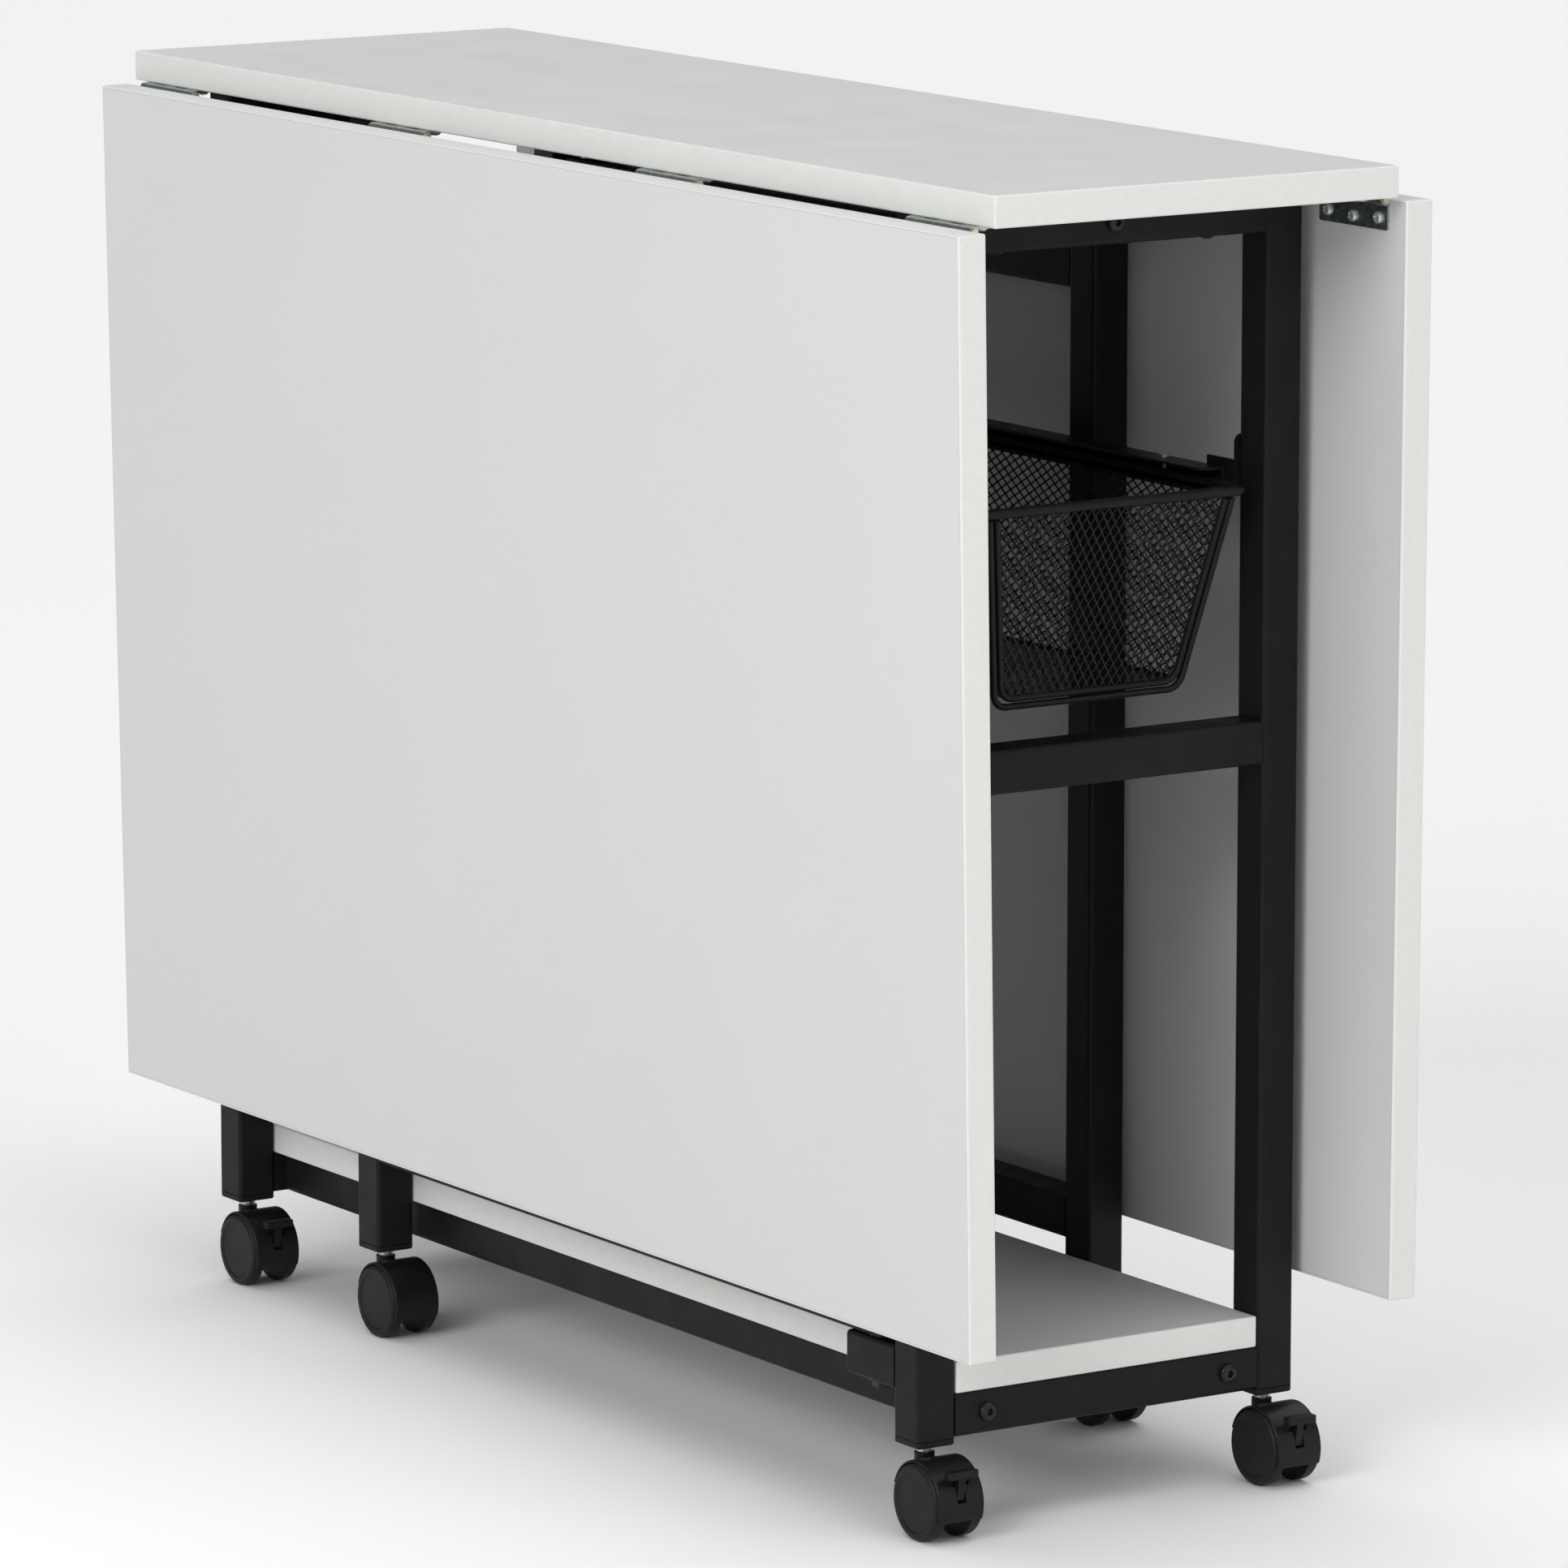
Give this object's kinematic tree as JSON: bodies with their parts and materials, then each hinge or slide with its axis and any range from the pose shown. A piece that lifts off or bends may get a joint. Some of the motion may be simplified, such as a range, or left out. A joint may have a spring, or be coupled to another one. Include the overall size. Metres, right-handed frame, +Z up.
{
  "type": "gateleg table",
  "caption": "Folding gateleg table on casters with a narrow fixed top, hanging hinged leaves, swinging gates, a low shelf and a sliding wire mesh basket.",
  "frame": {"origin": "on the floor under the middle of the top", "axes": "+Z up, X along the length of the top with the basket sliding out towards +X, -Y towards the front leaf"},
  "size_m": [0.94, 0.317, 0.76],
  "materials": {
    "table_board": "white melamine faced board with pale edge banding",
    "shelf_board": "white melamine faced board",
    "black_powder_coat": "satin black powder coat",
    "runner_steel": "satin black",
    "basket_steel": "satin black coated wire and expanded mesh",
    "black_fasteners": "black oxide",
    "zinc_plate": "zinc plated",
    "brass_pin": "yellow passivated",
    "zinc_screws": "bright zinc",
    "cap_plastic": "black moulded plastic",
    "stem_steel": "bright plated",
    "caster_plastic": "black nylon, soft sheen",
    "wheel_plastic": "black nylon, matte"
  },
  "bodies": {
    "base": {"basket_runners": "runner_steel", "bottom_rails": "black_powder_coat", "center_top": "table_board", "corner_stems": "stem_steel", "frame_bolts": "black_fasteners", "hinge_fixed_plates": "zinc_plate", "hinge_pins": "brass_pin", "hinge_top_screws": "zinc_screws", "left_end_frame": "black_powder_coat", "pivot_blocks": "black_powder_coat", "pivot_bolts": "black_fasteners", "pivot_washers": "zinc_screws", "post_caps": "cap_plastic", "rail_plugs": "cap_plastic", "right_end_frame": "black_powder_coat", "runner_brackets": "runner_steel", "runner_rivets": "zinc_screws", "shelf": "shelf_board", "top_screws": "black_fasteners", "top_stretcher": "black_powder_coat"},
    "front_leaf": {"front_leaf": "table_board", "front_hinge_plates": "zinc_plate", "front_hinge_screws": "zinc_screws"},
    "rear_leaf": {"rear_leaf": "table_board", "rear_hinge_plates": "zinc_plate", "rear_hinge_screws": "zinc_screws"},
    "front_gate": {"front_gate": "black_powder_coat", "front_gate_caps": "cap_plastic", "front_gate_stem": "stem_steel"},
    "rear_gate": {"rear_gate": "black_powder_coat", "rear_gate_caps": "cap_plastic", "rear_gate_stem": "stem_steel"},
    "basket": {"basket_rim": "basket_steel", "basket_frame": "basket_steel", "basket_mesh": "basket_steel"},
    "front_left_caster": {"front_left_caster_hood": "caster_plastic"},
    "front_left_inner_wheel": {"front_left_inner_wheel": "wheel_plastic"},
    "front_left_outer_wheel": {"front_left_outer_wheel": "wheel_plastic"},
    "front_left_brake_lever": {"front_left_brake_lever": "caster_plastic"},
    "rear_left_caster": {"rear_left_caster_hood": "caster_plastic"},
    "rear_left_inner_wheel": {"rear_left_inner_wheel": "wheel_plastic"},
    "rear_left_outer_wheel": {"rear_left_outer_wheel": "wheel_plastic"},
    "rear_left_brake_lever": {"rear_left_brake_lever": "caster_plastic"},
    "front_right_caster": {"front_right_caster_hood": "caster_plastic"},
    "front_right_inner_wheel": {"front_right_inner_wheel": "wheel_plastic"},
    "front_right_outer_wheel": {"front_right_outer_wheel": "wheel_plastic"},
    "front_right_brake_lever": {"front_right_brake_lever": "caster_plastic"},
    "rear_right_caster": {"rear_right_caster_hood": "caster_plastic"},
    "rear_right_inner_wheel": {"rear_right_inner_wheel": "wheel_plastic"},
    "rear_right_outer_wheel": {"rear_right_outer_wheel": "wheel_plastic"},
    "rear_right_brake_lever": {"rear_right_brake_lever": "caster_plastic"},
    "front_gate_caster": {"front_gate_caster_hood": "caster_plastic"},
    "front_gate_inner_wheel": {"front_gate_inner_wheel": "wheel_plastic"},
    "front_gate_outer_wheel": {"front_gate_outer_wheel": "wheel_plastic"},
    "rear_gate_caster": {"rear_gate_caster_hood": "caster_plastic"},
    "rear_gate_inner_wheel": {"rear_gate_inner_wheel": "wheel_plastic"},
    "rear_gate_outer_wheel": {"rear_gate_outer_wheel": "wheel_plastic"}
  },
  "joints": [
    {"name": "front_leaf_hinge", "type": "hinge", "parent": "base", "child": "front_leaf", "pos_m": [0, -0.1375, 0.739], "axis": [-1, 0, 0], "range_deg": [0, 90.92]},
    {"name": "rear_leaf_hinge", "type": "hinge", "parent": "base", "child": "rear_leaf", "pos_m": [0, 0.1375, 0.739], "axis": [1, 0, 0], "range_deg": [0, 90.3]},
    {"name": "front_gate_pivot", "type": "hinge", "parent": "base", "child": "front_gate", "pos_m": [0.337, -0.116, 0.1195], "axis": [0, 0, 1], "range_deg": [0, 0.15]},
    {"name": "rear_gate_pivot", "type": "hinge", "parent": "base", "child": "rear_gate", "pos_m": [-0.337, 0.116, 0.1195], "axis": [0, 0, 1], "range_deg": [0, 0.15]},
    {"name": "basket_slide", "type": "slide", "parent": "base", "child": "basket", "axis": [1, 0, 0], "range_m": [0, 0.3]},
    {"name": "front_left_caster_swivel", "type": "hinge", "parent": "base", "child": "front_left_caster", "pos_m": [-0.3775, -0.116, 0.04], "axis": [0, 0, 1], "continuous": true},
    {"name": "front_left_inner_wheel_spin", "type": "hinge", "parent": "front_left_caster", "child": "front_left_inner_wheel", "pos_m": [-0.3635, -0.116, 0.022], "axis": [0, 1, 0], "continuous": true},
    {"name": "front_left_outer_wheel_spin", "type": "hinge", "parent": "front_left_caster", "child": "front_left_outer_wheel", "pos_m": [-0.3635, -0.116, 0.022], "axis": [0, 1, 0], "continuous": true},
    {"name": "front_left_brake", "type": "hinge", "parent": "front_left_caster", "child": "front_left_brake_lever", "pos_m": [-0.344, -0.116, 0.028], "axis": [0, 1, 0], "range_deg": [0, 12]},
    {"name": "rear_left_caster_swivel", "type": "hinge", "parent": "base", "child": "rear_left_caster", "pos_m": [-0.3775, 0.116, 0.04], "axis": [0, 0, 1], "continuous": true},
    {"name": "rear_left_inner_wheel_spin", "type": "hinge", "parent": "rear_left_caster", "child": "rear_left_inner_wheel", "pos_m": [-0.3635, 0.116, 0.022], "axis": [0, 1, 0], "continuous": true},
    {"name": "rear_left_outer_wheel_spin", "type": "hinge", "parent": "rear_left_caster", "child": "rear_left_outer_wheel", "pos_m": [-0.3635, 0.116, 0.022], "axis": [0, 1, 0], "continuous": true},
    {"name": "rear_left_brake", "type": "hinge", "parent": "rear_left_caster", "child": "rear_left_brake_lever", "pos_m": [-0.344, 0.116, 0.028], "axis": [0, 1, 0], "range_deg": [0, 12]},
    {"name": "front_right_caster_swivel", "type": "hinge", "parent": "base", "child": "front_right_caster", "pos_m": [0.3775, -0.116, 0.04], "axis": [0, 0, 1], "continuous": true},
    {"name": "front_right_inner_wheel_spin", "type": "hinge", "parent": "front_right_caster", "child": "front_right_inner_wheel", "pos_m": [0.3915, -0.116, 0.022], "axis": [0, 1, 0], "continuous": true},
    {"name": "front_right_outer_wheel_spin", "type": "hinge", "parent": "front_right_caster", "child": "front_right_outer_wheel", "pos_m": [0.3915, -0.116, 0.022], "axis": [0, 1, 0], "continuous": true},
    {"name": "front_right_brake", "type": "hinge", "parent": "front_right_caster", "child": "front_right_brake_lever", "pos_m": [0.411, -0.116, 0.028], "axis": [0, 1, 0], "range_deg": [0, 12]},
    {"name": "rear_right_caster_swivel", "type": "hinge", "parent": "base", "child": "rear_right_caster", "pos_m": [0.3775, 0.116, 0.04], "axis": [0, 0, 1], "continuous": true},
    {"name": "rear_right_inner_wheel_spin", "type": "hinge", "parent": "rear_right_caster", "child": "rear_right_inner_wheel", "pos_m": [0.3915, 0.116, 0.022], "axis": [0, 1, 0], "continuous": true},
    {"name": "rear_right_outer_wheel_spin", "type": "hinge", "parent": "rear_right_caster", "child": "rear_right_outer_wheel", "pos_m": [0.3915, 0.116, 0.022], "axis": [0, 1, 0], "continuous": true},
    {"name": "rear_right_brake", "type": "hinge", "parent": "rear_right_caster", "child": "rear_right_brake_lever", "pos_m": [0.411, 0.116, 0.028], "axis": [0, 1, 0], "range_deg": [0, 12]},
    {"name": "front_gate_caster_swivel", "type": "hinge", "parent": "front_gate", "child": "front_gate_caster", "pos_m": [-0.2095, -0.116, 0.04], "axis": [0, 0, 1], "continuous": true},
    {"name": "front_gate_inner_wheel_spin", "type": "hinge", "parent": "front_gate_caster", "child": "front_gate_inner_wheel", "pos_m": [-0.1955, -0.116, 0.022], "axis": [0, 1, 0], "continuous": true},
    {"name": "front_gate_outer_wheel_spin", "type": "hinge", "parent": "front_gate_caster", "child": "front_gate_outer_wheel", "pos_m": [-0.1955, -0.116, 0.022], "axis": [0, 1, 0], "continuous": true},
    {"name": "rear_gate_caster_swivel", "type": "hinge", "parent": "rear_gate", "child": "rear_gate_caster", "pos_m": [0.2095, 0.116, 0.04], "axis": [0, 0, 1], "continuous": true},
    {"name": "rear_gate_inner_wheel_spin", "type": "hinge", "parent": "rear_gate_caster", "child": "rear_gate_inner_wheel", "pos_m": [0.2235, 0.116, 0.022], "axis": [0, 1, 0], "continuous": true},
    {"name": "rear_gate_outer_wheel_spin", "type": "hinge", "parent": "rear_gate_caster", "child": "rear_gate_outer_wheel", "pos_m": [0.2235, 0.116, 0.022], "axis": [0, 1, 0], "continuous": true}
  ]
}
